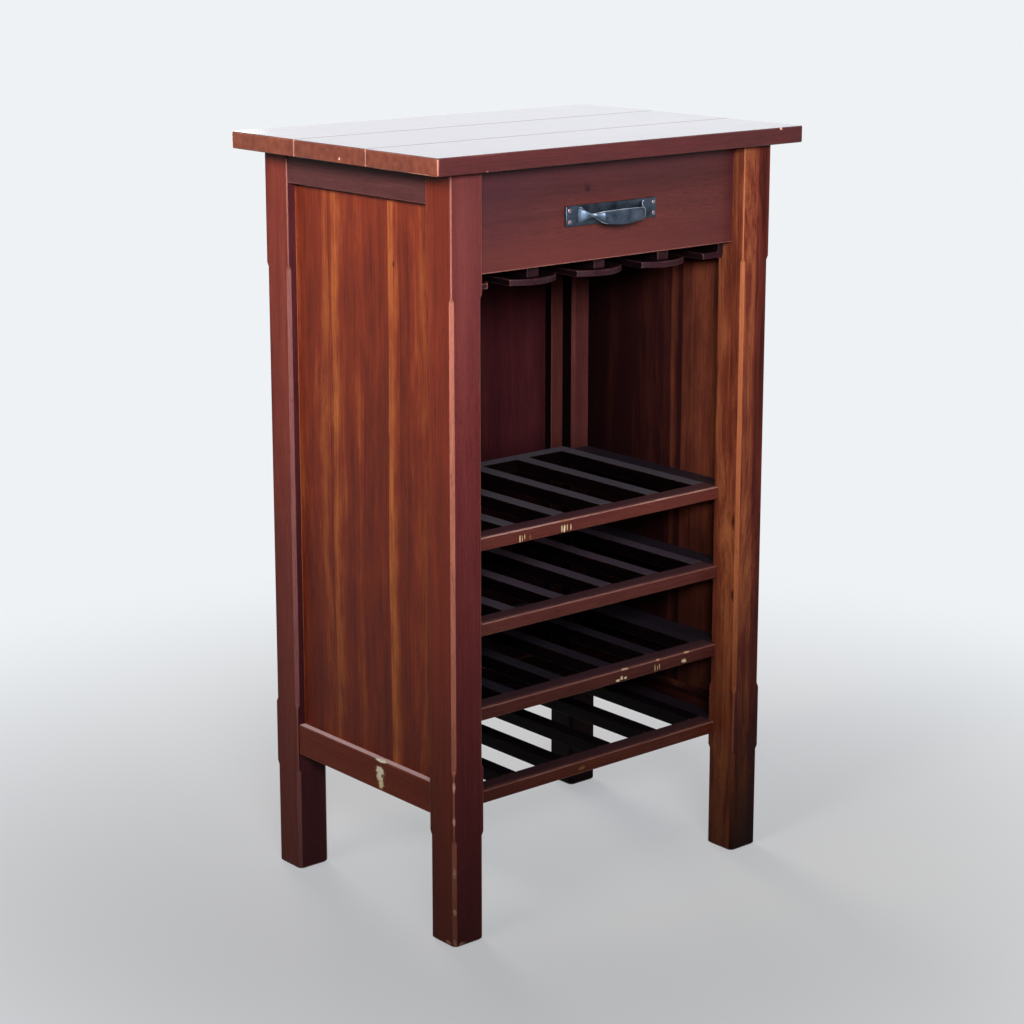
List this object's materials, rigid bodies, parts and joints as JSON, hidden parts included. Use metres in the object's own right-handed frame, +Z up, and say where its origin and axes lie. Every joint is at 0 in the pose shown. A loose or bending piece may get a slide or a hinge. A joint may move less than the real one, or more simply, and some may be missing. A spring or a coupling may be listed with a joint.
{
  "type": "wine cabinet",
  "caption": "Free-standing wine cabinet: drawer with a cast-iron pull, a stemware rack under it and slatted shelves for bottles lying down, between panelled sides.",
  "frame": {"origin": "on the floor, under the middle of the top board's outline", "axes": "+Z up, -Y the front with the drawer, +X to the right as seen from the front"},
  "size_m": [0.562, 0.388, 0.914],
  "materials": {
    "top_wood": "mahogany stain under satin lacquer",
    "frame_wood": "mahogany stain under satin lacquer, edges worn",
    "panel_wood": "mahogany stain under satin lacquer, upright grain",
    "drawer_front_wood": "mahogany stain under satin lacquer",
    "shelf_wood": "mahogany stain under satin lacquer, front edges chipped",
    "rack_wood": "dark mahogany stain",
    "plain_wood": "bare, sanded",
    "black_iron": "blackened, edges rubbed bright",
    "screw_metal": "worn copper wash"
  },
  "bodies": {
    "cabinet": {"top_board_front": "top_wood", "top_board_middle": "top_wood", "top_board_rear": "top_wood", "leg_front_left": "frame_wood", "leg_rear_left": "frame_wood", "leg_front_right": "frame_wood", "leg_rear_right": "frame_wood", "side_rail_bottom_left": "frame_wood", "side_rail_top_left": "frame_wood", "side_rail_bottom_right": "frame_wood", "side_rail_top_right": "frame_wood", "side_panel_left": "panel_wood", "side_panel_right": "panel_wood", "back_panel": "panel_wood", "back_rail_bottom": "frame_wood", "back_rail_top": "frame_wood", "back_batten_left": "frame_wood", "back_batten_right": "frame_wood", "drawer_runner_left": "plain_wood", "drawer_runner_right": "plain_wood", "rack_bearer_front": "rack_wood", "rack_bearer_rear": "rack_wood", "stem_rail_1": "rack_wood", "stem_rail_2": "rack_wood", "stem_rail_3": "rack_wood", "stem_rail_4": "rack_wood", "stem_rail_5": "rack_wood", "shelf_1_cleat_left": "shelf_wood", "shelf_2_cleat_left": "shelf_wood", "shelf_3_cleat_left": "shelf_wood", "shelf_4_cleat_left": "shelf_wood", "shelf_1_cleat_right": "shelf_wood", "shelf_2_cleat_right": "shelf_wood", "shelf_3_cleat_right": "shelf_wood", "shelf_4_cleat_right": "shelf_wood", "shelf_1_front_strip": "shelf_wood", "shelf_1_front_rail": "shelf_wood", "shelf_1_slats": "shelf_wood", "shelf_2_front_strip": "shelf_wood", "shelf_2_front_rail": "shelf_wood", "shelf_2_slats": "shelf_wood", "shelf_3_front_strip": "shelf_wood", "shelf_3_front_rail": "shelf_wood", "shelf_3_slats": "shelf_wood", "shelf_4_front_strip": "shelf_wood", "shelf_4_front_rail": "shelf_wood", "shelf_4_slats": "shelf_wood"},
    "drawer": {"drawer_front": "drawer_front_wood", "drawer_side_left": "plain_wood", "drawer_side_right": "plain_wood", "drawer_back": "plain_wood", "drawer_bottom": "plain_wood", "drawer_pull": "black_iron", "pull_screw_1": "screw_metal", "pull_screw_2": "screw_metal", "pull_screw_3": "screw_metal", "pull_screw_4": "screw_metal"}
  },
  "joints": [
    {"name": "drawer_slide", "type": "slide", "parent": "cabinet", "child": "drawer", "axis": [0, -1, 0], "range_m": [0, 0.22]}
  ]
}
